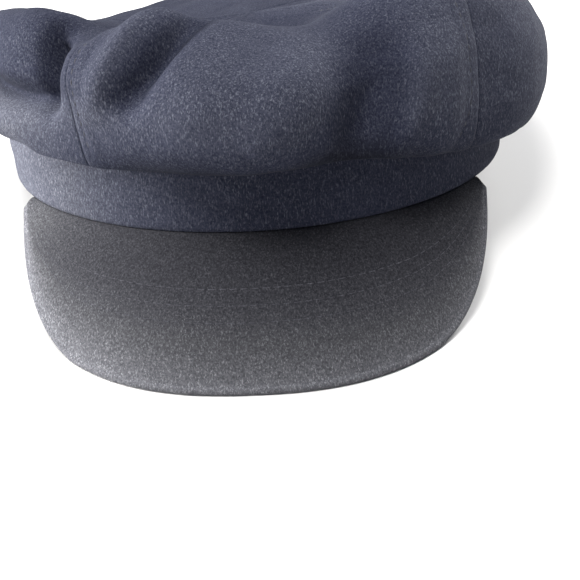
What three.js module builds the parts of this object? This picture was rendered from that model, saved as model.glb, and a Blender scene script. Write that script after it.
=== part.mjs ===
import * as THREE from 'three';

// Sizes in mm. The cap is shaped in its own frame and then laid down on the table.
// Own frame: X to the wearer's left, Y towards the back, Z up from the band's lower edge.
// Angles go round the cap in degrees: 0 at the peak, +90 on the +X side, 180 at the back.
const BAND = {
  halfWidth: 90.6, halfLength: 96.4, height: 24, flare: 1, bow: 0.3, thickness: 3, chamfer: 0.8,
};
const CROWN = {
  height: 40, overhang: 16, cloth: 1.2, flange: 2.6, centreUp: 0.65, ringShare: 0.5, topHole: 1.2,
};
const PEAK = {
  halfAngle: 58.2, halfWidth: 79.8, front: 124.4, tipY: 45.4, tipZ: 28.9,
  squareness: 2.39, sideLength: 59, lift: 1.3, bulge: 4, thickness: 3, usedShare: 0.97,
};
const FOLD = { depth: 10, width: 12, steps: 40, narrowest: 0.6 };
const REST = { tilt: 12.94, pivotY: 80, settle: 45 };
const GAP = 0.3;

// The crown's section at a few angles, read from the band up to the middle of the top.
// Outs are shares of CROWN.overhang beyond the band, ups are shares of CROWN.height above it.
const SECTION_COLUMNS = ['angle', 'lipOut', 'lipUp', 'bellyOut', 'bellyUp',
  'shoulderOut', 'shoulderUp', 'crestOut', 'crestUp', 'ringUp'];
const SECTIONS = [
  [-180, 0.50, -0.03, 1.00, 0.18, 0.94, 0.42, 0.12, 0.58, 0.64],
  [-135, 0.44, -0.04, 0.94, 0.16, 0.80, 0.32, 0.00, 0.34, 0.42],
  [-100, 0.31, -0.06, 0.69, 0.15, 0.70, 0.48, 0.10, 0.70, 0.50],
  [-78, 0.27, -0.08, 0.66, 0.15, 0.44, 0.58, -0.34, 0.88, 0.66],
  [-62, 0.27, -0.08, 0.62, 0.15, 0.38, 0.60, -0.45, 0.97, 0.70],
  [-50, 0.20, -0.05, 0.48, 0.16, 0.25, 0.60, -0.60, 1.02, 0.68],
  [-43, 0.26, -0.07, 0.38, 0.19, 0.05, 0.60, -0.80, 0.98, 0.68],
  [-37, 0.26, -0.07, 0.34, 0.22, 0.00, 0.62, -0.80, 0.86, 0.70],
  [-31, 0.26, -0.07, 0.34, 0.25, 0.40, 0.68, -0.45, 0.84, 0.70],
  [-25, 0.26, -0.07, 0.46, 0.25, 0.52, 0.71, -0.55, 0.96, 0.71],
  [-18, 0.28, -0.06, 0.66, 0.24, 0.50, 0.74, -0.75, 1.06, 0.72],
  [-5, 0.60, -0.03, 1.00, 0.21, 0.78, 0.67, -0.80, 0.99, 0.68],
  [8, 0.68, -0.02, 1.02, 0.20, 0.74, 0.63, -0.80, 0.90, 0.68],
  [18, 0.60, -0.04, 0.84, 0.18, 0.55, 0.60, -0.80, 0.90, 0.70],
  [28, 0.54, -0.07, 0.76, 0.21, 0.66, 0.70, -0.62, 1.08, 0.80],
  [44, 0.50, -0.18, 0.74, 0.13, 0.62, 0.74, -0.12, 1.15, 0.90],
  [60, 0.50, -0.25, 0.96, 0.05, 0.84, 0.65, -0.12, 1.08, 0.90],
  [77, 0.50, -0.32, 0.94, 0.02, 0.78, 0.56, -0.10, 0.88, 0.80],
  [100, 0.50, -0.22, 1.02, 0.04, 0.84, 0.47, -0.05, 0.74, 0.72],
  [135, 0.50, -0.08, 1.00, 0.15, 0.94, 0.42, 0.12, 0.62, 0.66],
];

// Folds of the cloth, each along a line on the crown from (angle, station) to (angle, station).
// Stations count the section's points: 2 lip, 3 belly, 4 shoulder, 5 crest, 6 ring of the top.
// Width and depth are shares of FOLD; a negative depth is a valley.
const FOLDS = [
  { angle0: -17.5, station0: 3.55, angle1: -8, station1: 5.0, width: 0.36, depth: -0.80 },
  { angle0: -25, station0: 3.4, angle1: -16, station1: 5.0, width: 0.45, depth: 0.35 },
  { angle0: -38, station0: 3.5, angle1: -41, station1: 4.7, width: 0.36, depth: -1.15 },
  { angle0: -10, station0: 3.0, angle1: 4, station1: 4.6, width: 1.70, depth: 0.30 },
  { angle0: 2, station0: 2.8, angle1: 13, station1: 4.4, width: 0.85, depth: 0.45 },
  { angle0: 17.5, station0: 2.5, angle1: 24, station1: 4.1, width: 0.75, depth: -0.68 },
  { angle0: 32.5, station0: 2.3, angle1: 38, station1: 4.3, width: 0.95, depth: 0.38 },
  { angle0: 26, station0: 2.4, angle1: 31.5, station1: 4.1, width: 0.40, depth: 0.25 },
  { angle0: -105, station0: 3.65, angle1: -39, station1: 3.55, width: 0.36, depth: -0.95 },
  { angle0: -70, station0: 5.5, angle1: -20, station1: 6.2, width: 1.60, depth: -0.25 },
  { angle0: 80, station0: 5.3, angle1: 35, station1: 6.3, width: 1.80, depth: -0.30 },
  { angle0: 150, station0: 5.0, angle1: 200, station1: 5.2, width: 1.30, depth: -0.25 },
  { angle0: 112, station0: 3.4, angle1: 160, station1: 3.7, width: 0.70, depth: -0.30 },
  { angle0: 210, station0: 3.3, angle1: 252, station1: 3.7, width: 0.70, depth: -0.30 },
];

// The four panels of the crown, with their seams' angles at the band and from the belly up.
const SEAMS = {
  front_left: { low: -26, high: -30.5 },
  front_right: { low: 44, high: 44 },
  back_right: { low: 137, high: 137 },
  back_left: { low: 223, high: 223 },
};
// Crowding above 1 draws a panel's columns of mesh together towards its last seam.
const PANELS = [
  { name: 'crown_front', from: 'front_left', to: 'front_right', turn: 0, columns: 26, crowding: 1 },
  { name: 'crown_right', from: 'front_right', to: 'back_right', turn: 0, columns: 20, crowding: 1 },
  { name: 'crown_back', from: 'back_right', to: 'back_left', turn: 0, columns: 14, crowding: 1 },
  { name: 'crown_left', from: 'back_left', to: 'front_left', turn: 360, columns: 31, crowding: 1.5 },
];
// Rows of mesh between one station of the section and the next, and the other pieces' columns
const STATION_ROWS = [1, 2, 4, 5, 4, 4, 2];
const BAND_COLUMNS = 84;
const PEAK_COLUMNS = 36;
const PEAK_ROWS = 5;

const radians = THREE.MathUtils.degToRad;
const lerp = THREE.MathUtils.lerp;

function ovalRadius(angle, halfWidth, halfLength) {
  const across = Math.sin(radians(angle)) / halfWidth;
  const along = Math.cos(radians(angle)) / halfLength;
  return 1 / Math.hypot(across, along);
}

function ringPoint(angle, radius, z) {
  return new THREE.Vector3(radius * Math.sin(radians(angle)), -radius * Math.cos(radians(angle)), z);
}

// A table column at any angle, as a smooth closed curve through its rows
function sectionValue(column, angle) {
  const count = SECTIONS.length;
  const index = SECTION_COLUMNS.indexOf(column);
  const turned = THREE.MathUtils.euclideanModulo(angle + 180, 360) - 180;
  const row = SECTIONS.findLastIndex((entry) => entry[0] <= turned);
  const at = (i) => {
    const entry = SECTIONS[(i + count) % count];
    return { angle: entry[0] + 360 * Math.floor(i / count), value: entry[index] };
  };
  const slope = (i) => {
    const before = at(i).angle - at(i - 1).angle;
    const after = at(i + 1).angle - at(i).angle;
    const rise = (at(i + 1).value - at(i).value) * before / after;
    const fall = (at(i).value - at(i - 1).value) * after / before;
    return (rise + fall) / (before + after);
  };
  const span = at(row + 1).angle - at(row).angle;
  const s = (turned - at(row).angle) / span;
  return (2 * s ** 3 - 3 * s ** 2 + 1) * at(row).value
    + (s ** 3 - 2 * s ** 2 + s) * span * slope(row)
    + (3 * s ** 2 - 2 * s ** 3) * at(row + 1).value
    + (s ** 3 - s ** 2) * span * slope(row + 1);
}

// The crown's outer face without its folds
function smoothCrown(angle, station) {
  const radius = ovalRadius(angle, BAND.halfWidth + BAND.flare, BAND.halfLength + BAND.flare);
  const out = (column) => sectionValue(column, angle) * CROWN.overhang;
  const up = (column) => sectionValue(column, angle) * CROWN.height;
  const section = new THREE.SplineCurve([
    new THREE.Vector2(-CROWN.flange, 1.2 * GAP),
    new THREE.Vector2(1.2 * GAP, 0.8 * GAP),
    new THREE.Vector2(out('lipOut'), up('lipUp')),
    new THREE.Vector2(out('bellyOut'), up('bellyUp')),
    new THREE.Vector2(out('shoulderOut'), up('shoulderUp')),
    new THREE.Vector2(out('crestOut'), up('crestUp')),
    new THREE.Vector2(-radius * (1 - CROWN.ringShare), up('ringUp')),
    new THREE.Vector2(-radius + CROWN.topHole, CROWN.centreUp * CROWN.height),
  ]);
  const point = section.getPoint(THREE.MathUtils.clamp(station / 7, 0, 1));
  return ringPoint(angle, radius + point.x, BAND.height + point.y);
}

// The outward direction of a face given as a function of angle and station,
// taken over a reach of stations so that it turns gently round tight bends
function outward(face, angle, station, reach) {
  const along = face(angle + 1.5, station).sub(face(angle - 1.5, station));
  const upward = face(angle, Math.min(station + reach, 7)).sub(face(angle, Math.max(station - reach, 0)));
  return along.cross(upward).normalize();
}

const foldLines = FOLDS.map((fold) => Array.from({ length: FOLD.steps }, (_, i) => {
  const share = i / (FOLD.steps - 1);
  const angle = lerp(fold.angle0, fold.angle1, share);
  return smoothCrown(angle, lerp(fold.station0, fold.station1, share));
}));

// How far the folds move the cloth outwards at a point of the smooth crown.
// They fade out towards the seam on the band. A fold narrower than the mesh can follow
// is drawn wider and as much shallower.
function foldPush(point, station) {
  const fade = THREE.MathUtils.smoothstep(station, 1.2, 2.6);
  let push = 0;
  FOLDS.forEach((fold, index) => {
    const distances = foldLines[index].map((step) => step.distanceTo(point));
    const nearest = Math.min(...distances);
    const share = distances.indexOf(nearest) / (FOLD.steps - 1);
    const taper = Math.sin(Math.PI * (0.08 + 0.84 * share)) ** 0.6;
    const width = Math.max(fold.width, FOLD.narrowest);
    const depth = fold.depth * fold.width / width;
    push += depth * FOLD.depth * taper * Math.exp(-((nearest / (width * FOLD.width)) ** 2));
  });
  return push * fade;
}

function crownFace(angle, station) {
  const point = smoothCrown(angle, station);
  return point.addScaledVector(outward(smoothCrown, angle, station, 0.05), foldPush(point, station));
}

// Lays a point of the cap's own frame on the table: the cap leans back on its band,
// and the cloth behind the pivot is pressed flat where it would sink into the table
function layDown(point) {
  const tilt = radians(REST.tilt);
  const behind = point.y - REST.pivotY;
  const sunk = Math.max(0, behind * Math.sin(tilt));
  const press = THREE.MathUtils.clamp(1 - point.z / REST.settle, 0, 1) ** 2;
  return new THREE.Vector3(
    point.x,
    REST.pivotY + behind * Math.cos(tilt) + point.z * Math.sin(tilt),
    point.z * Math.cos(tilt) - behind * Math.sin(tilt) + sunk * press,
  );
}

function solid(name, points, triangles) {
  const geometry = new THREE.BufferGeometry().setFromPoints(points);
  geometry.setIndex(triangles.flat());
  const wool = new THREE.MeshStandardMaterial({ color: 0x2b2d33, roughness: 0.95, metalness: 0 });
  const mesh = new THREE.Mesh(geometry, wool);
  mesh.name = name;
  return mesh;
}

// A body through closed loops of points: either the loops themselves close into a ring,
// or the first and the last are filled by triangles across the loop
function lofted(name, loops, isRing) {
  const length = loops[0].length;
  const spans = isRing ? loops.length : loops.length - 1;
  const triangles = [];
  for (let i = 0; i < spans; i += 1) {
    for (let j = 0; j < length; j += 1) {
      const here = i * length;
      const next = ((i + 1) % loops.length) * length;
      const k = (j + 1) % length;
      triangles.push([here + j, next + j, next + k], [here + j, next + k, here + k]);
    }
  }
  if (!isRing) {
    const last = spans * length;
    for (let j = 0; j < length / 2 - 1; j += 1) {
      const mate = length - 1 - j;
      triangles.push([j, j + 1, mate - 1], [j, mate - 1, mate]);
      triangles.push([last + j, last + mate - 1, last + j + 1], [last + j, last + mate, last + mate - 1]);
    }
  }
  return solid(name, loops.flat(), triangles);
}

// One crown panel: each loop runs up its outer face and back down its inner face
function crownPanel({ name, from, to, turn, columns, crowding }) {
  const stations = STATION_ROWS.flatMap((rows, i) => Array.from({ length: rows }, (_, k) => i + k / rows));
  stations.push(7);
  const seamAngle = (seam, station) => lerp(SEAMS[seam].low, SEAMS[seam].high, Math.min(station / 3, 1));
  const loops = [];
  for (let column = 0; column <= columns; column += 1) {
    const share = 1 - (1 - column / columns) ** crowding;
    const outside = [];
    const inside = [];
    for (const station of stations) {
      const start = seamAngle(from, station);
      const end = seamAngle(to, station) + turn;
      const middle = smoothCrown((start + end) / 2, station);
      const clearance = THREE.MathUtils.radToDeg(GAP / 2 / Math.hypot(middle.x, middle.y));
      const angle = lerp(start + clearance, end - clearance, share);
      const point = crownFace(angle, station);
      const reach = lerp(0.35, 0.12, THREE.MathUtils.clamp(station - 2, 0, 1));
      outside.push(point);
      inside.push(point.clone().addScaledVector(outward(crownFace, angle, station, reach), -CROWN.cloth));
    }
    loops.push([...outside, ...inside.reverse()].map(layDown));
  }
  return lofted(name, loops, false);
}

// The band, a ring of cloth; outs are from its lower outer edge
function band() {
  const { height, flare, bow, thickness, chamfer } = BAND;
  const section = [
    [0, 0],
    [0.6 * flare + bow, 0.5 * height],
    [flare, height - chamfer],
    [flare - chamfer, height],
    [flare - thickness, height],
    [0.5 * flare - thickness, 0.5 * height],
    [-thickness, 0],
  ];
  const loops = Array.from({ length: BAND_COLUMNS }, (_, i) => {
    const angle = i * 360 / BAND_COLUMNS - 180;
    const radius = ovalRadius(angle, BAND.halfWidth, BAND.halfLength);
    return section.map(([out, up]) => layDown(ringPoint(angle, radius + out, up)));
  });
  return lofted('band', loops, true);
}

// The peak's outer edge as it lies on the table, a squared oval that rises towards its tips
function peakEdge(share) {
  const turn = share * Math.PI / 2;
  const power = 2 / PEAK.squareness;
  const x = PEAK.halfWidth * Math.sign(turn) * Math.abs(Math.sin(turn)) ** power;
  const y = -PEAK.tipY - (PEAK.front - PEAK.tipY) * Math.abs(Math.cos(turn)) ** power;
  const rise = THREE.MathUtils.clamp((y + PEAK.tipY + PEAK.sideLength) / PEAK.sideLength, 0, 1);
  return new THREE.Vector3(x, y, PEAK.tipZ * rise ** PEAK.lift);
}

// The peak, a stiff plate from under the band down to the table.
// Its loop runs down the top, round the nose that rests on the table, and up the underside.
function peak() {
  const { thickness } = PEAK;
  const steps = Array.from({ length: PEAK_ROWS - 1 }, (_, i) => (i + 1) / PEAK_ROWS);
  const loops = [];
  for (let column = 0; column <= PEAK_COLUMNS; column += 1) {
    const share = lerp(PEAK.usedShare, -PEAK.usedShare, column / PEAK_COLUMNS);
    const angle = share * PEAK.halfAngle;
    const radius = ovalRadius(angle, BAND.halfWidth, BAND.halfLength);
    const seam = (out, up) => layDown(ringPoint(angle, radius + out, up));
    const edge = peakEdge(share);
    const along = peakEdge(share + 0.005).sub(peakEdge(share - 0.005)).setZ(0).normalize();
    const forward = new THREE.Vector3(along.y, -along.x, 0);
    const nose = (out, up) => edge.clone().addScaledVector(forward, out).setZ(edge.z + up);
    const inside = -0.9 * BAND.thickness;
    const top = [seam(-GAP / 3, -GAP), nose(-0.4 * thickness, thickness)];
    const underside = [seam(inside, -0.73 * thickness), nose(-0.87 * thickness, 0)];
    const bulgeSize = PEAK.bulge * Math.cos(share * Math.PI / 2) ** 0.5;
    const swell = new THREE.Vector3(0, -1, 1).setLength(4 * bulgeSize);
    const strand = ([start, end], s) => start.clone().lerp(end, s).addScaledVector(swell, s * (1 - s));
    loops.push([
      top[0], ...steps.map((s) => strand(top, s)), top[1],
      nose(0, 0.4 * thickness), nose(-0.27 * thickness, 0),
      underside[1], ...steps.map((s) => strand(underside, 1 - s)), underside[0],
      seam(inside, -GAP),
    ]);
  }
  return lofted('peak', loops, false);
}

const cap = new THREE.Group();
cap.add(band(), peak());
for (const panel of PANELS) {
  cap.add(crownPanel(panel));
}

// The origin goes to the middle of the cap's underside
const extent = new THREE.Box3().setFromObject(cap);
const centre = extent.getCenter(new THREE.Vector3());
for (const piece of cap.children) {
  piece.geometry.translate(-centre.x, -centre.y, -extent.min.z);
}
export default cap;
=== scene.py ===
import math

import bpy
import numpy as np
from mathutils import Matrix, Vector


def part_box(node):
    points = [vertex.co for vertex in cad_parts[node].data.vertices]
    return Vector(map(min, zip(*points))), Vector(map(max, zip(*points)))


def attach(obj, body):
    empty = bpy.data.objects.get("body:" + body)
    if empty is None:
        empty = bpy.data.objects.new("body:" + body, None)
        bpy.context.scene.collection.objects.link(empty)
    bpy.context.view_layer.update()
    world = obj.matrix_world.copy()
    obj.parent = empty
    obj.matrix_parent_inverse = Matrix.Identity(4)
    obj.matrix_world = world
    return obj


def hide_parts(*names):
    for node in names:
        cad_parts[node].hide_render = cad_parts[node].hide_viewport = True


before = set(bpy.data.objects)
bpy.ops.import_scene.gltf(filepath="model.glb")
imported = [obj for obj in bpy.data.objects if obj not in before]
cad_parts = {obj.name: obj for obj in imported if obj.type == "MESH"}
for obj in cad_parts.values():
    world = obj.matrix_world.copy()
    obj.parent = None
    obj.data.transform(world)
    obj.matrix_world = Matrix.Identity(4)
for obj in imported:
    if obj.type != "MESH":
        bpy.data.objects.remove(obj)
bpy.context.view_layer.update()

# Sizes in mm, the same as the solid cap's. The cap is shaped in its own frame and laid on the table.
# Angles go round the cap in degrees: 0 at the peak, +90 on the +X side, 180 at the back.
BAND = {
    "half_width": 90.6, "half_length": 96.4, "height": 24.0, "flare": 1.0, "bow": 0.3, "thickness": 3.0,
    "columns": 560,
}
CROWN = {
    "height": 40.0, "overhang": 16.0, "cloth": 1.2, "flange": 2.6, "centre_up": 0.65,
    "ring_share": 0.5, "top_hole": 0.1,
}
PEAK = {
    "half_angle": 58.2, "half_width": 79.8, "front": 124.4, "tip_y": 45.4, "tip_z": 28.9,
    "squareness": 2.39, "side_length": 59.0, "lift": 1.3, "bulge": 4.0, "thickness": 3.0,
    "used_share": 0.97, "columns": 300, "rows": 60, "nose_rows": 14,
}
# The rounded edge of the peak, from its upper face to its lower one: out and up
PEAK_NOSE = [(-1.2, PEAK["thickness"]), (-0.35, 2.3), (0.0, 1.3), (-0.3, 0.35), (-1.1, 0.0), (-2.6, 0.0)]
FOLD = {"depth": 10.0, "width": 12.0, "steps": 60, "end": 0.08, "taper": 0.6}
REST = {"tilt": math.radians(12.94), "pivot_y": 80.0, "settle": 45.0}
GAP = 0.3

# The crown's section at a few angles, from the band up to the middle of the top.
# Outs are shares of the overhang beyond the band, ups are shares of the crown's height above it.
SECTION_COLUMNS = ["angle", "lip_out", "lip_up", "belly_out", "belly_up",
                   "shoulder_out", "shoulder_up", "crest_out", "crest_up", "ring_up"]
SECTIONS = np.array([
    [-180, 0.50, -0.03, 1.00, 0.18, 0.94, 0.42, 0.12, 0.58, 0.64],
    [-135, 0.44, -0.04, 0.94, 0.16, 0.80, 0.32, 0.00, 0.34, 0.42],
    [-100, 0.31, -0.06, 0.69, 0.15, 0.70, 0.48, 0.10, 0.70, 0.50],
    [-78, 0.27, -0.08, 0.66, 0.15, 0.44, 0.58, -0.34, 0.88, 0.66],
    [-62, 0.27, -0.08, 0.62, 0.15, 0.38, 0.60, -0.45, 0.97, 0.70],
    [-50, 0.20, -0.05, 0.48, 0.16, 0.25, 0.60, -0.60, 1.02, 0.68],
    [-43, 0.26, -0.07, 0.38, 0.19, 0.05, 0.60, -0.80, 0.98, 0.68],
    [-37, 0.26, -0.07, 0.34, 0.22, 0.00, 0.62, -0.80, 0.86, 0.70],
    [-31, 0.26, -0.07, 0.34, 0.25, 0.40, 0.68, -0.45, 0.84, 0.70],
    [-25, 0.26, -0.07, 0.46, 0.25, 0.52, 0.71, -0.55, 0.96, 0.71],
    [-18, 0.28, -0.06, 0.66, 0.24, 0.50, 0.74, -0.75, 1.06, 0.72],
    [-5, 0.60, -0.03, 1.00, 0.21, 0.78, 0.67, -0.80, 0.99, 0.68],
    [8, 0.68, -0.02, 1.02, 0.20, 0.74, 0.63, -0.80, 0.90, 0.68],
    [18, 0.60, -0.04, 0.84, 0.18, 0.55, 0.60, -0.80, 0.90, 0.70],
    [28, 0.54, -0.07, 0.76, 0.21, 0.66, 0.70, -0.62, 1.08, 0.80],
    [44, 0.50, -0.18, 0.74, 0.13, 0.62, 0.74, -0.12, 1.15, 0.90],
    [60, 0.50, -0.25, 0.96, 0.05, 0.84, 0.65, -0.12, 1.08, 0.90],
    [77, 0.50, -0.32, 0.94, 0.02, 0.78, 0.56, -0.10, 0.88, 0.80],
    [100, 0.50, -0.22, 1.02, 0.04, 0.84, 0.47, -0.05, 0.74, 0.72],
    [135, 0.50, -0.08, 1.00, 0.15, 0.94, 0.42, 0.12, 0.62, 0.66],
])

# Folds of the cloth, each along a line on the crown from (angle, station) to (angle, station).
# Stations count the section's points: 2 lip, 3 belly, 4 shoulder, 5 crest, 6 ring of the top.
# Width and depth are shares of FOLD's; a negative depth is a valley.
FOLD_COLUMNS = ["angle0", "station0", "angle1", "station1", "width", "depth"]
FOLDS = [
    [-17.5, 3.55, -8, 5.0, 0.36, -0.80],
    [-25, 3.4, -16, 5.0, 0.45, 0.35],
    [-38, 3.5, -41, 4.7, 0.36, -1.15],
    [-10, 3.0, 4, 4.6, 1.70, 0.30],
    [2, 2.8, 13, 4.4, 0.85, 0.45],
    [17.5, 2.5, 24, 4.1, 0.75, -0.68],
    [32.5, 2.3, 38, 4.3, 0.95, 0.38],
    [26, 2.4, 31.5, 4.1, 0.40, 0.25],
    [-105, 3.65, -39, 3.55, 0.36, -0.95],
    [-70, 5.5, -20, 6.2, 1.60, -0.25],
    [80, 5.3, 35, 6.3, 1.80, -0.30],
    [150, 5.0, 200, 5.2, 1.30, -0.25],
    [112, 3.4, 160, 3.7, 0.70, -0.30],
    [210, 3.3, 252, 3.7, 0.70, -0.30],
]

# The crown's panels: name, the solid it stands for, its two seams, turn of the second, columns
SEAMS = {
    "front_left": (-26, -30.5),
    "front_right": (44, 44),
    "back_right": (137, 137),
    "back_left": (223, 223),
}
PANELS = [
    ("cloth_front", "crown_front", "front_left", "front_right", 0, 200),
    ("cloth_right", "crown_right", "front_right", "back_right", 0, 180),
    ("cloth_back", "crown_back", "back_right", "back_left", 0, 120),
    ("cloth_left", "crown_left", "back_left", "front_left", 360, 180),
]
STATION_ROWS = [3, 14, 20, 26, 28, 44, 50]

# The stations between which something comes in, or goes out again, on the way from the band to the top
FOLDS_IN = (1.2, 2.6)
WRINKLES_IN = (1.3, 2.6)
WRINKLES_OUT = (6.5, 6.95)
STITCHING_IN = (2.2, 2.6)
STITCHING_OUT = (6.0, 6.6)
# Painted shade low on the crown, near the band, goes out between these stations.
LIP_SHADE_OUT = (1.9, 3.5)
# Painted light on the crown's left side goes out between these stations.
LEFT_PAINTED_LIGHT_OUT = (3.3, 3.7)

# Small wrinkles: height, size, seed, and how much narrower they are upright than along
WRINKLES = {
    "crown": [(0.55, 30, 5, 1.0), (0.25, 11, 8, 1.0)],
    "band": [(0.35, 26, 21, 1.6), (0.15, 9, 22, 1.0)],
}
NOISE = {"waves": 14, "shortest": 0.7, "longest": 1.6, "height": 1.6}

# How pale the cloth is, as a factor of its material's colour, with painted light and shade in it.
# On the crown, ridges are paler and valleys darker, partly wear and partly painted shade in the folds,
# and the cloth low on the crown is painted darker near the band, as the shade on the underside of its
# overhang.
CROWN_WEAR_AND_PAINTED_SHADE = {"plain": 0.60, "by_push": 0.075, "least_push": -1.5, "most_push": 3, "lip": 0.35}
# Painted shade: the whole band is darker, standing in for the shade under the crown.
BAND_PAINTED_SHADE = 0.55
# Painted light and shade on the peak: paler towards the nose and at the sides, partly edge wear, and
# darker towards the right.
PEAK_WEAR_AND_PAINTED_LIGHT = {
    "plain": 0.55, "outwards": -0.1, "rightwards": -0.15, "rim": 1.3, "nose": 1.5, "sides": 0.75,
    "rim_rightwards": -0.3,
}

# Places painted paler, as painted light on the cap's left side and its right side: the angle of the
# middle, the width and the amount
PAINTED_LIGHT_PLACES = {"crown_right": (65, 28, 0.3), "crown_left": (-60, 32, 0.8), "band_left": (-62, 34, 1.1)}


# Shapes

def oval_radius(angle, half_width, half_length):
    turn = np.radians(angle)
    return 1 / np.hypot(np.sin(turn) / half_width, np.cos(turn) / half_length)


def ring_point(angle, radius, z):
    turn = np.radians(angle)
    return np.stack(np.broadcast_arrays(radius * np.sin(turn), -radius * np.cos(turn), z), -1)


def section_value(column, angle):
    """A table column at any angle, as a smooth closed curve through its rows."""
    index = SECTION_COLUMNS.index(column)
    angles = np.concatenate([SECTIONS[:, 0] + turn for turn in (-360, 0, 360)])
    values = np.tile(SECTIONS[:, index], 3)
    slopes = np.gradient(values, angles)
    turned = (angle + 180) % 360 - 180
    row = np.searchsorted(angles, turned, side="right") - 1
    span = angles[row + 1] - angles[row]
    s = (turned - angles[row]) / span
    return ((2 * s**3 - 3 * s**2 + 1) * values[row]
            + (s**3 - 2 * s**2 + s) * span * slopes[row]
            + (3 * s**2 - 2 * s**3) * values[row + 1]
            + (s**3 - s**2) * span * slopes[row + 1])


def spline(points, t):
    """A smooth curve through a list of points, at t counted in points."""
    points = np.stack(points)
    last = len(points) - 1
    t = np.clip(t, 0, last)
    start = np.minimum(np.floor(t).astype(int), last - 1)
    s = (t - start)[..., None]

    def at(i):
        return np.take_along_axis(points, np.clip(i, 0, last)[None, ..., None], 0)[0]

    before, here, there, after = at(start - 1), at(start), at(start + 1), at(start + 2)
    go = (there - before) / 2
    come = (after - here) / 2
    return ((2 * here - 2 * there + go + come) * s**3
            + (-3 * here + 3 * there - 2 * go - come) * s**2 + go * s + here)


def smooth_crown(angle, station):
    """The crown's outer face without its folds."""
    angle, station = np.broadcast_arrays(np.asarray(angle, float), np.asarray(station, float))
    radius = oval_radius(angle, BAND["half_width"] + BAND["flare"], BAND["half_length"] + BAND["flare"])

    def place(out, up):
        return np.stack(np.broadcast_arrays(out, up + 0 * angle), -1)

    def point(name):
        out = section_value(name + "_out", angle) * CROWN["overhang"]
        return place(out, section_value(name + "_up", angle) * CROWN["height"])

    section = spline([
        place(0 * angle - CROWN["flange"], 1.2 * GAP),
        place(0 * angle + 1.2 * GAP, 0.8 * GAP),
        point("lip"), point("belly"), point("shoulder"), point("crest"),
        place(-radius * (1 - CROWN["ring_share"]), section_value("ring_up", angle) * CROWN["height"]),
        place(-radius + CROWN["top_hole"], CROWN["centre_up"] * CROWN["height"]),
    ], station)
    return ring_point(angle, radius + section[..., 0], BAND["height"] + section[..., 1])


def unit(vectors):
    return vectors / np.maximum(np.linalg.norm(vectors, axis=-1, keepdims=True), 1e-9)


def crown_outward(angle, station, turn=1.5, rise=0.05):
    last = len(STATION_ROWS)
    along = smooth_crown(angle + turn, station) - smooth_crown(angle - turn, station)
    above = smooth_crown(angle, np.minimum(station + rise, last))
    below = smooth_crown(angle, np.maximum(station - rise, 0))
    return unit(np.cross(along, above - below))


def ease(value, low, high):
    """A smooth step from 0 below low to 1 above high."""
    s = np.clip((value - low) / (high - low), 0, 1)
    return s * s * (3 - 2 * s)


def fold_push(points, station):
    """How far the folds move the cloth outwards at points of the smooth crown."""
    push = np.zeros(points.shape[:-1])
    for row in FOLDS:
        fold = dict(zip(FOLD_COLUMNS, row))
        share = np.linspace(0, 1, FOLD["steps"])
        line_angle = fold["angle0"] + (fold["angle1"] - fold["angle0"]) * share
        line_station = fold["station0"] + (fold["station1"] - fold["station0"]) * share
        line = smooth_crown(line_angle, line_station)
        nearest = np.full(push.shape, np.inf)
        where = np.zeros(push.shape)
        for step, place in zip(share, line):
            distance = np.linalg.norm(points - place, axis=-1)
            where = np.where(distance < nearest, step, where)
            nearest = np.minimum(nearest, distance)
        taper = np.sin(math.pi * (FOLD["end"] + (1 - 2 * FOLD["end"]) * where)) ** FOLD["taper"]
        across = nearest / (fold["width"] * FOLD["width"])
        push += fold["depth"] * FOLD["depth"] * taper * np.exp(-(across ** 2))
    return push * ease(station, *FOLDS_IN)


def soft_noise(points, size, seed):
    """A smooth random height from -1 to 1 with bumps about the given size in mm."""
    rng = np.random.default_rng(seed)
    total = np.zeros(points.shape[:-1])
    for _ in range(NOISE["waves"]):
        direction = unit(rng.normal(size=3)) * 2 * math.pi
        direction = direction / (size * rng.uniform(NOISE["shortest"], NOISE["longest"]))
        total += np.sin(points @ direction + rng.uniform(0, 2 * math.pi))
    return total / NOISE["waves"] * NOISE["height"]


def wrinkles(points, place):
    """The height of the small wrinkles at points of the crown or the band."""
    return sum(height * soft_noise(points * [1, 1, squash], size, seed)
               for height, size, seed, squash in WRINKLES[place])


def lay_down(points):
    """Points of the cap's own frame, laid on the table: the cap leans back on its band,
    and the cloth behind the pivot is pressed flat where it would sink into the table."""
    x, y, z = np.moveaxis(points, -1, 0)
    behind = y - REST["pivot_y"]
    sunk = np.maximum(0, behind * math.sin(REST["tilt"]))
    press = np.clip(1 - z / REST["settle"], 0, 1) ** 2
    laid_y = REST["pivot_y"] + behind * math.cos(REST["tilt"]) + z * math.sin(REST["tilt"])
    laid_z = z * math.cos(REST["tilt"]) - behind * math.sin(REST["tilt"]) + sunk * press
    return np.stack([x, laid_y, laid_z], -1)


# Where the cap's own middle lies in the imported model, in mm
band_low, band_high = (np.array(corner) * 1000 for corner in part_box("band"))
peak_low, _ = (np.array(corner) * 1000 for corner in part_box("peak"))
PLACE = np.array([(band_low[0] + band_high[0]) / 2, peak_low[1] + PEAK["front"], 0.0])


def mesh_piece(name, points, faces, wear_and_painted_light, node, material):
    """A visible piece on the cap's one body, which stands for a solid of the cap if a node is named."""
    mesh = bpy.data.meshes.new(name)
    mesh.from_pydata(((points.reshape(-1, 3) + PLACE) / 1000).tolist(), [], faces.tolist())
    mesh.shade_smooth()
    mesh.attributes.new("wear_and_painted_light", "FLOAT", "POINT").data.foreach_set("value", wear_and_painted_light.ravel())
    piece = bpy.data.objects.new(name, mesh)
    bpy.context.scene.collection.objects.link(piece)
    mesh.materials.append(material)
    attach(piece, "root")
    if node:
        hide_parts(node)
    return piece


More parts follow.
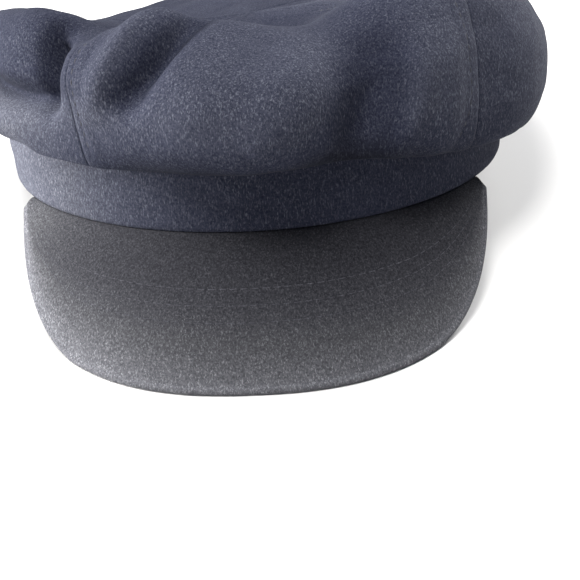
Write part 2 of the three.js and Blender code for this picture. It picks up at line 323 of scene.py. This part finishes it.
def loop_faces(loops, length, is_ring):
    """Quads between neighbouring closed loops, and across the two end loops if they are open."""
    spans = loops if is_ring else loops - 1
    i, j = np.meshgrid(np.arange(spans), np.arange(length), indexing="ij")
    here = i * length
    following = (i + 1) % loops * length
    k = (j + 1) % length
    faces = np.stack([here + j, following + j, following + k, here + k], -1).reshape(-1, 4)
    if is_ring:
        return faces
    j = np.arange(length // 2 - 1)
    mate = length - 1 - j
    start = np.stack([j, j + 1, mate - 1, mate], -1)
    end = np.stack([j, mate, mate - 1, j + 1], -1) + spans * length
    return np.concatenate([faces, start, end])


def grid_outward(points):
    across = np.gradient(points, axis=0)
    along = np.gradient(points, axis=1)
    return unit(np.cross(across, along))


def painted_light(angle, place):
    """How much painted light makes the cloth paler at an angle round the cap, for one of the places
    painted paler.
    """
    middle, width, amount = PAINTED_LIGHT_PLACES[place]
    away = (angle - middle + 180) % 360 - 180
    return amount * np.exp(-((away / width) ** 2))


# The seams' relief: the front panel lies over the side panels, and is stitched down beside the seam.
# A seam leans between the band and the belly. The stitching's distance from it is given above and below.
BELLY = 3
SEAM = {
    "raise": 0.45, "allowance": 8.0, "allowance_slope": (-2, 1), "groove": 0.5, "groove_width": 0.9,
    "clearance": 0.04,
}
TOPSTITCH = {
    "depth": 0.3, "width": 0.7, "front_left": (3.2, 3.6), "front_right": (5.5, 11.0),
    "between": (2.1, 3.4), "first": 2.35, "last": 6.2, "steps": 160,
}
PEAK_STITCHING = {"reaches": [0.38, 0.49, 0.60], "side": 0.86, "steps": 200}
THREAD = {
    "length": 2.3, "pitch": 3.4, "radius": 0.2, "sides": 6, "rings": 7, "proud": 0.1, "end": 0.45,
    "crown_wear_and_painted_light": 1.0, "peak_wear": 0.85,
}


def seam_angle(seam, station):
    low, high = SEAMS[seam]
    return low + (high - low) * np.minimum(station / BELLY, 1)


def topstitch_distance(seam, station):
    high, low = TOPSTITCH[seam]
    return high + (low - high) * (1 - ease(station, *TOPSTITCH["between"]))


def crown_face(angle, station, start, end, is_front):
    """The crown's outer face with folds, small wrinkles and the relief of its seams."""
    base = smooth_crown(angle, station)
    radius = np.hypot(base[..., 0], base[..., 1])
    from_start = radius * np.radians(angle - start)
    from_end = radius * np.radians(end - angle)
    push = fold_push(base, station)
    free = ease(station, *WRINKLES_IN) * (1 - ease(station, *WRINKLES_OUT))
    push += free * wrinkles(base, "crown")
    allowance_end = [SEAM["allowance"] + more for more in SEAM["allowance_slope"]]
    for seam, distance in (("front_left", from_start), ("front_right", from_end)):
        push -= SEAM["groove"] * np.exp(-((distance / SEAM["groove_width"]) ** 2)) * free
        if is_front:
            push += SEAM["raise"] * (1 - ease(distance, *allowance_end)) * free
            stitched = distance - topstitch_distance(seam, station)
            shown = ease(station, *STITCHING_IN) * (1 - ease(station, *STITCHING_OUT))
            push -= TOPSTITCH["depth"] * np.exp(-((stitched / TOPSTITCH["width"]) ** 2)) * shown
    return base + crown_outward(angle, station) * push[..., None], push


def crown_wear_and_painted_light(angle, station, push):
    """How pale the crown's cloth is: painted shade near the band, paler on ridges and darker in valleys,
    partly wear and partly painted shade, and painted light at its left and right places.
    """
    painted_light_and_wear = CROWN_WEAR_AND_PAINTED_SHADE["plain"] + CROWN_WEAR_AND_PAINTED_SHADE["by_push"] * np.clip(
        push, CROWN_WEAR_AND_PAINTED_SHADE["least_push"], CROWN_WEAR_AND_PAINTED_SHADE["most_push"])
    painted_light_and_wear *= CROWN_WEAR_AND_PAINTED_SHADE["lip"] + (1 - CROWN_WEAR_AND_PAINTED_SHADE["lip"]) * ease(station, *LIP_SHADE_OUT)
    left = painted_light(angle, "crown_left") * (1 - ease(station, *LEFT_PAINTED_LIGHT_OUT))
    return painted_light_and_wear + (painted_light(angle, "crown_right") + left)


def crown_panel(name, node, start_seam, end_seam, turn, columns, material):
    """One panel of the crown: a wall of cloth from the band to the middle of the top."""
    spans = [i + np.arange(rows) / rows for i, rows in enumerate(STATION_ROWS)]
    stations = np.concatenate(spans + [[len(STATION_ROWS)]])
    middle_angle = sum(SEAMS[start_seam] + SEAMS[end_seam]) / 4
    middle = smooth_crown(np.zeros_like(stations) + middle_angle, stations)
    clearance = np.degrees(SEAM["clearance"] / np.hypot(middle[..., 0], middle[..., 1]))
    start = seam_angle(start_seam, stations)
    end = seam_angle(end_seam, stations) + turn
    share = np.linspace(0, 1, columns + 1)[:, None]
    angle = (start + clearance) + (end - start - 2 * clearance) * share
    station = np.broadcast_to(stations, angle.shape)
    outside, push = crown_face(angle, station, start, end, node == "crown_front")
    inside = outside - grid_outward(outside) * CROWN["cloth"]
    loops = lay_down(np.concatenate([outside, inside[:, ::-1]], 1))
    faces = loop_faces(columns + 1, loops.shape[1], False)
    painted_light_and_wear = crown_wear_and_painted_light(angle, station, push)
    wear_and_painted_light = np.concatenate([painted_light_and_wear, painted_light_and_wear[:, ::-1]], 1)
    return mesh_piece(name, loops, faces, wear_and_painted_light, node, material)


def band_piece(material):
    """The band: a strip of cloth turned in at its lower edge, with small wrinkles."""
    flare, thickness, height = BAND["flare"], BAND["thickness"], BAND["height"]
    # The corners of its section, up outside and down inside: out, up and the rows to the next corner
    corners = np.array([
        (-0.4, 0.0, 3),
        (0.0, 0.9, 16),
        (0.6 * flare + BAND["bow"], 0.5 * height, 16),
        (flare, height - 1.2, 3),
        (flare - 0.7, height - 0.1, 3),
        (flare - thickness, height - 0.1, 8),
        (0.5 * flare - thickness, 0.5 * height, 8),
        (-thickness, 0.8, 3),
        (-thickness + 0.5, 0.0, 3),
    ])
    section = []
    for start, end in zip(corners, np.roll(corners, -1, axis=0)):
        count = int(start[2])
        section += [start[:2] + (end[:2] - start[:2]) * step / count for step in range(count)]
    section = np.array(section)
    angle = (np.arange(BAND["columns"]) * 360 / BAND["columns"])[:, None]
    radius = oval_radius(angle, BAND["half_width"], BAND["half_length"])
    loops = ring_point(angle, radius + section[:, 0], section[:, 1])
    outer = ease(section[:, 0], -1.0, 0.3) * ease(section[:, 1], 0.0, 6.0)
    loops = loops + unit(loops * [1, 1, 0]) * (wrinkles(loops, "band") * outer)[..., None]
    faces = loop_faces(BAND["columns"], len(section), True)
    # Painted shade over the whole band, and painted light on its left side.
    wear_and_painted_light = BAND_PAINTED_SHADE + painted_light(angle, "band_left") + 0 * section[:, 1]
    return mesh_piece("band_cloth", lay_down(loops), faces, wear_and_painted_light, "band", material)


def peak_edge(share):
    """The peak's outer edge as it lies on the table, a squared oval that rises towards its tips."""
    turn = share * math.pi / 2
    power = 2 / PEAK["squareness"]
    x = PEAK["half_width"] * np.sign(turn) * np.abs(np.sin(turn)) ** power
    y = -PEAK["tip_y"] - (PEAK["front"] - PEAK["tip_y"]) * np.abs(np.cos(turn)) ** power
    rise = np.clip((y + PEAK["tip_y"] + PEAK["side_length"]) / PEAK["side_length"], 0, 1)
    return np.stack([x, y, PEAK["tip_z"] * rise ** PEAK["lift"]], -1)


def peak_forward(share):
    """The level direction out of the peak's outer edge."""
    along = unit((peak_edge(share + 0.005) - peak_edge(share - 0.005)) * [1, 1, 0])
    return np.stack([along[:, 1], -along[:, 0], 0 * share], -1)


def peak_nose(share, out, up):
    return peak_edge(share) + peak_forward(share) * out + [0, 0, up]


def peak_seam(share, out, up):
    """Points of the peak where it is sewn to the band."""
    angle = share * PEAK["half_angle"]
    radius = oval_radius(angle, BAND["half_width"], BAND["half_length"])
    return lay_down(ring_point(angle, radius + out, up + 0 * angle))


def peak_swell(share, reach):
    """How far the peak bulges forwards and up, from the band (reach 0) to the nose (reach 1)."""
    swell = 4 * PEAK["bulge"] * np.cos(share * math.pi / 2)[:, None] ** 0.5
    return swell * np.array([0, -0.7, 0.7]) * reach * (1 - reach)


def peak_top(share, reach):
    """Points of the peak's upper face."""
    start = peak_seam(share, -0.1, -GAP)
    end = peak_nose(share, *PEAK_NOSE[0])
    return start + (end - start) * reach + peak_swell(share, reach)


def peak_underside(share, reach):
    start = peak_seam(share, -2.7, -2.2)
    end = peak_nose(share, *PEAK_NOSE[-1])
    return start + (end - start) * reach + peak_swell(share, reach)


def peak_piece(material):
    """The peak: a stiff plate, cloth over its rounded nose, from under the band to the table."""
    columns, top_rows, nose_rows = PEAK["columns"], PEAK["rows"], PEAK["nose_rows"]
    share = np.linspace(PEAK["used_share"], -PEAK["used_share"], columns + 1)
    steps = np.linspace(0, 1, top_rows)
    rounded = [peak_nose(share, out, up) for out, up in PEAK_NOSE]
    bends = np.linspace(0, len(PEAK_NOSE) - 1, nose_rows + 2)[1:-1]
    loops = np.stack([
        *[peak_top(share, step) for step in steps],
        *[spline(rounded, np.full(columns + 1, bend)) for bend in bends],
        *[peak_underside(share, step) for step in steps[::-1][::2]],
        peak_seam(share, -2.7, -GAP),
        peak_seam(share, -1.4, -GAP),
    ], 1)
    faces = loop_faces(columns + 1, loops.shape[1], False)
    # Painted light and shade: paler towards the nose and at the sides, partly edge wear, and darker
    # towards the right and near the band.
    rows = np.arange(loops.shape[1])
    reach = np.clip(np.minimum(rows, 2 * top_rows + nose_rows - rows) / top_rows, 0, 1)[None]
    right = share[:, None]
    rim = np.maximum(PEAK_WEAR_AND_PAINTED_LIGHT["nose"] * reach ** 3, PEAK_WEAR_AND_PAINTED_LIGHT["sides"] * right ** 4)
    rim *= 1 + PEAK_WEAR_AND_PAINTED_LIGHT["rim_rightwards"] * right
    wear_and_painted_light = PEAK_WEAR_AND_PAINTED_LIGHT["plain"] + PEAK_WEAR_AND_PAINTED_LIGHT["outwards"] * reach + PEAK_WEAR_AND_PAINTED_LIGHT["rightwards"] * right
    wear_and_painted_light = wear_and_painted_light + PEAK_WEAR_AND_PAINTED_LIGHT["rim"] * rim
    return mesh_piece("peak_cloth", loops, faces, wear_and_painted_light, "peak", material)


# Stitching

def stitch_row(line, outward):
    """Short threads laid end to end along a line of points, as points and faces of one mesh."""
    travelled = np.concatenate([[0], np.cumsum(np.linalg.norm(np.diff(line, axis=0), axis=1))])

    def along(values, distance):
        return np.stack([np.interp(distance, travelled, values[:, k]) for k in range(3)], -1)

    starts = np.arange(THREAD["pitch"], travelled[-1] - THREAD["pitch"], THREAD["pitch"])
    share = np.linspace(0, 1, THREAD["rings"])
    places = (starts[:, None] + THREAD["length"] * share).ravel()
    middle = along(line, places)
    up = unit(along(outward, places))
    run = unit(np.gradient(middle.reshape(len(starts), THREAD["rings"], 3), axis=1)).reshape(-1, 3)
    side = np.cross(run, up)
    arch = np.tile(np.sin(math.pi * share), len(starts))[:, None]
    middle = middle + up * (THREAD["proud"] - THREAD["radius"] * (1 - arch))
    turn = (np.arange(THREAD["sides"]) * 2 * math.pi / THREAD["sides"])[:, None]
    thick = THREAD["radius"] * (THREAD["end"] + (1 - THREAD["end"]) * arch)[:, None]
    rings = middle[:, None] + thick * (side[:, None] * np.cos(turn) + up[:, None] * np.sin(turn))
    one = loop_faces(THREAD["rings"], THREAD["sides"], False)
    faces = np.concatenate([one + i * THREAD["rings"] * THREAD["sides"] for i in range(len(starts))])
    return rings.reshape(-1, 3), faces


def crown_topstitch(seam, side, material):
    """The stitching beside a seam of the front panel, at greater angles than the seam if side is +1."""
    station = np.linspace(TOPSTITCH["first"], TOPSTITCH["last"], TOPSTITCH["steps"])
    start = seam_angle("front_left", station)
    end = seam_angle("front_right", station)
    base = smooth_crown(seam_angle(seam, station), station)
    radius = np.hypot(base[..., 0], base[..., 1])
    angle = seam_angle(seam, station) + side * np.degrees(topstitch_distance(seam, station) / radius)
    line, _ = crown_face(angle, station, start, end, True)
    laid = lay_down(line)
    points, faces = stitch_row(laid, lay_down(line + crown_outward(angle, station)) - laid)
    wear_and_painted_light = np.full(len(points), THREAD["crown_wear_and_painted_light"])
    mesh_piece("topstitch_" + seam, points, faces, wear_and_painted_light, None, material)


def peak_stitching(material):
    """Rows of stitching across the peak, each a share of the way from the band to the nose."""
    share = np.linspace(PEAK_STITCHING["side"], -PEAK_STITCHING["side"], PEAK_STITCHING["steps"])
    for row, reach in enumerate(PEAK_STITCHING["reaches"], 1):
        line = peak_top(share, reach)
        across = peak_top(share, reach + 0.01) - peak_top(share, reach - 0.01)
        points, faces = stitch_row(line, np.cross(across, np.gradient(line, axis=0)))
        wear_and_painted_light = np.full(len(points), THREAD["peak_wear"])
        mesh_piece(f"peak_stitches_{row}", points, faces, wear_and_painted_light, None, material)


# Materials

# Fibres lie four ways. Scales are counts to the metre, and ranges the part of a noise that shows.
FIBRE_TURNS = [(0.3, 0.2, 0.1), (1.3, 0.5, 0.9), (0.6, 1.4, 2.2), (2.1, 0.4, 1.5)]
WOOL = {
    "fibre_scale": (1850, 1850, 540), "fibre_range": (0.60, 0.78),
    "mottle_scale": 1500, "mottle_range": (0.3, 0.72),
    "patch_scale": 38, "patch_range": (0.3, 0.7), "least_fibres": 0.6,
    "wear_and_light_range": (0.5, 1.2), "saturation": (1.12, 0.6),
    "mottle_height": 0.7, "fibre_height": 0.5, "bump": 0.08, "bump_distance": 0.0004,
    "roughness": 0.95, "specular": 0.1,
}


def wool(name, deep, mid, pale, fibre_amount):
    """Napped wool cloth: mottled dark ground and short pale fibres, scaled by the wear and painted light
    attribute; where that is low the painted shade is a deeper blue, where high the cloth is greyer.
    """
    material = bpy.data.materials.new(name)
    material.use_nodes = True
    nodes = material.node_tree.nodes
    links = material.node_tree.links
    shader = nodes["Principled BSDF"]
    coordinates = nodes.new("ShaderNodeTexCoord").outputs["Object"]

    def noise(scale, detail, vector=coordinates):
        node = nodes.new("ShaderNodeTexNoise")
        node.inputs["Scale"].default_value = scale
        node.inputs["Detail"].default_value = detail
        links.new(vector, node.inputs["Vector"])
        return node.outputs["Fac"]

    def stretched(rotation, scale):
        node = nodes.new("ShaderNodeMapping")
        node.inputs["Rotation"].default_value = rotation
        node.inputs["Scale"].default_value = scale
        links.new(coordinates, node.inputs["Vector"])
        return node.outputs["Vector"]

    def remap(value, old, new=(0.0, 1.0)):
        node = nodes.new("ShaderNodeMapRange")
        for socket, number in zip(("From Min", "From Max", "To Min", "To Max"), (*old, *new)):
            node.inputs[socket].default_value = number
        links.new(value, node.inputs["Value"])
        return node.outputs["Result"]

    def math_node(operation, a, b):
        node = nodes.new("ShaderNodeMath")
        node.operation = operation
        for socket, value in zip(node.inputs, (a, b)):
            if isinstance(value, (int, float)):
                socket.default_value = value
            else:
                links.new(value, socket)
        return node.outputs[0]

    def mix(factor, a, b):
        node = nodes.new("ShaderNodeMix")
        node.data_type = "RGBA"
        links.new(factor, node.inputs["Factor"])
        for socket, value in ((node.inputs[6], a), (node.inputs[7], b)):
            if isinstance(value, tuple):
                socket.default_value = (*value, 1)
            else:
                links.new(value, socket)
        return node.outputs[2]

    fibres = None
    for rotation in FIBRE_TURNS:
        streaks = noise(1.0, 2.0, stretched(rotation, WOOL["fibre_scale"]))
        streaks = remap(streaks, WOOL["fibre_range"])
        fibres = streaks if fibres is None else math_node("MAXIMUM", fibres, streaks)
    mottle = noise(WOOL["mottle_scale"], 3.0)
    patches = noise(WOOL["patch_scale"], 2.0)
    ground = mix(remap(mottle, WOOL["mottle_range"]), deep, mid)
    amounts = (WOOL["least_fibres"] * fibre_amount, fibre_amount)
    shown = math_node("MULTIPLY", fibres, remap(patches, WOOL["patch_range"], amounts))
    # The colour is scaled by the attribute, which holds wear and painted light and shade.
    painted_light_and_wear = nodes.new("ShaderNodeAttribute")
    painted_light_and_wear.attribute_name = "wear_and_painted_light"
    colour = nodes.new("ShaderNodeVectorMath")
    colour.operation = "SCALE"
    links.new(mix(shown, ground, pale), colour.inputs["Vector"])
    links.new(painted_light_and_wear.outputs["Fac"], colour.inputs["Scale"])
    # Painted shade is made a deeper blue, and the paler cloth greyer.
    greyed = nodes.new("ShaderNodeHueSaturation")
    saturation = remap(painted_light_and_wear.outputs["Fac"], WOOL["wear_and_light_range"], WOOL["saturation"])
    links.new(saturation, greyed.inputs["Saturation"])
    links.new(colour.outputs["Vector"], greyed.inputs["Color"])
    links.new(greyed.outputs["Color"], shader.inputs["Base Color"])
    mottle_height = math_node("MULTIPLY", mottle, WOOL["mottle_height"])
    height = math_node("ADD", mottle_height, math_node("MULTIPLY", fibres, WOOL["fibre_height"]))
    bump = nodes.new("ShaderNodeBump")
    bump.inputs["Strength"].default_value = WOOL["bump"]
    bump.inputs["Distance"].default_value = WOOL["bump_distance"]
    links.new(height, bump.inputs["Height"])
    links.new(bump.outputs["Normal"], shader.inputs["Normal"])
    shader.inputs["Roughness"].default_value = WOOL["roughness"]
    shader.inputs["Specular IOR Level"].default_value = WOOL["specular"]
    return material


cloth = wool("wool_cloth", (0.019, 0.022, 0.040), (0.055, 0.059, 0.088), (0.25, 0.26, 0.31), 0.55)
peak_cloth = wool("wool_peak", (0.022, 0.022, 0.027), (0.054, 0.054, 0.062), (0.22, 0.22, 0.24), 0.5)
thread = wool("wool_thread", (0.045, 0.045, 0.054), (0.075, 0.075, 0.09), (0.2, 0.2, 0.23), 0.5)

for panel in PANELS:
    crown_panel(*panel, cloth)
band_piece(cloth)
peak_piece(peak_cloth)
crown_topstitch("front_left", 1, thread)
crown_topstitch("front_right", -1, thread)
peak_stitching(thread)


# The table, the lights and the camera, in metres

FLOOR = {"half": 2, "drop": 0.0001, "colour": (0.78, 0.77, 0.75, 1), "roughness": 0.9}
WORLD = {"colour": (0.7, 0.85, 1.35, 1), "strength": 0.08}
LIGHT_AIM = (0, -0.03, 0.03)
LIGHTS = [
    ("left", (-0.8, 0, 0.14), 0.4, 19),
    ("top", (-0.15, -0.25, 0.9), 0.45, 13),
    ("back_right", (0.6, 0.6, 0.5), 0.5, 14),
]


def floor():
    half = FLOOR["half"]
    mesh = bpy.data.meshes.new("floor")
    corners = [(-half, -half, 0), (half, -half, 0), (half, half, 0), (-half, half, 0)]
    mesh.from_pydata(corners, [], [(0, 1, 2, 3)])
    plane = bpy.data.objects.new("floor", mesh)
    plane.location.z = -FLOOR["drop"]
    bpy.context.scene.collection.objects.link(plane)
    material = bpy.data.materials.new("pale_floor")
    material.use_nodes = True
    shader = material.node_tree.nodes["Principled BSDF"]
    shader.inputs["Base Color"].default_value = FLOOR["colour"]
    shader.inputs["Roughness"].default_value = FLOOR["roughness"]
    mesh.materials.append(material)


def area_light(name, location, size, power):
    light = bpy.data.lights.new(name, "AREA")
    light.energy = power
    light.size = size
    lamp = bpy.data.objects.new(name, light)
    lamp.location = location
    lamp.rotation_euler = (Vector(LIGHT_AIM) - Vector(location)).to_track_quat("-Z", "Y").to_euler()
    lamp.visible_camera = False
    bpy.context.scene.collection.objects.link(lamp)


def camera(target, azimuth, elevation, roll, distance, focal_px, frame_px):
    """A camera that looks at the target from an azimuth and elevation, turned about its own axis."""
    azimuth, elevation, roll = (math.radians(value) for value in (azimuth, elevation, roll))
    back = Vector((math.sin(azimuth) * math.cos(elevation), -math.cos(azimuth) * math.cos(elevation),
                   math.sin(elevation)))
    level = (-back).cross(Vector((0, 0, 1))).normalized()
    above = level.cross(-back)
    right = math.cos(roll) * level + math.sin(roll) * above
    up = math.cos(roll) * above - math.sin(roll) * level
    data = bpy.data.cameras.new("camera")
    data.sensor_width = 36
    data.lens = 36 * focal_px / frame_px
    data.clip_start = 0.01
    eye = bpy.data.objects.new("camera", data)
    place = Matrix((right, up, back)).transposed().to_4x4()
    place.translation = Vector(target) + back * distance
    eye.matrix_world = place
    bpy.context.scene.collection.objects.link(eye)
    bpy.context.scene.camera = eye


floor()
for light in LIGHTS:
    area_light(*light)
world = bpy.data.worlds.new("world")
bpy.context.scene.world = world
world.use_nodes = True
background = world.node_tree.nodes["Background"]
background.inputs["Color"].default_value = WORLD["colour"]
background.inputs["Strength"].default_value = WORLD["strength"]
bpy.context.scene.view_settings.view_transform = "Standard"
camera(
    target=((10.67 + PLACE[0]) / 1000, (-60 + PLACE[1]) / 1000, -0.00661),
    azimuth=2.36, elevation=35.84, roll=-3.86, distance=0.45, focal_px=1274, frame_px=580,
)
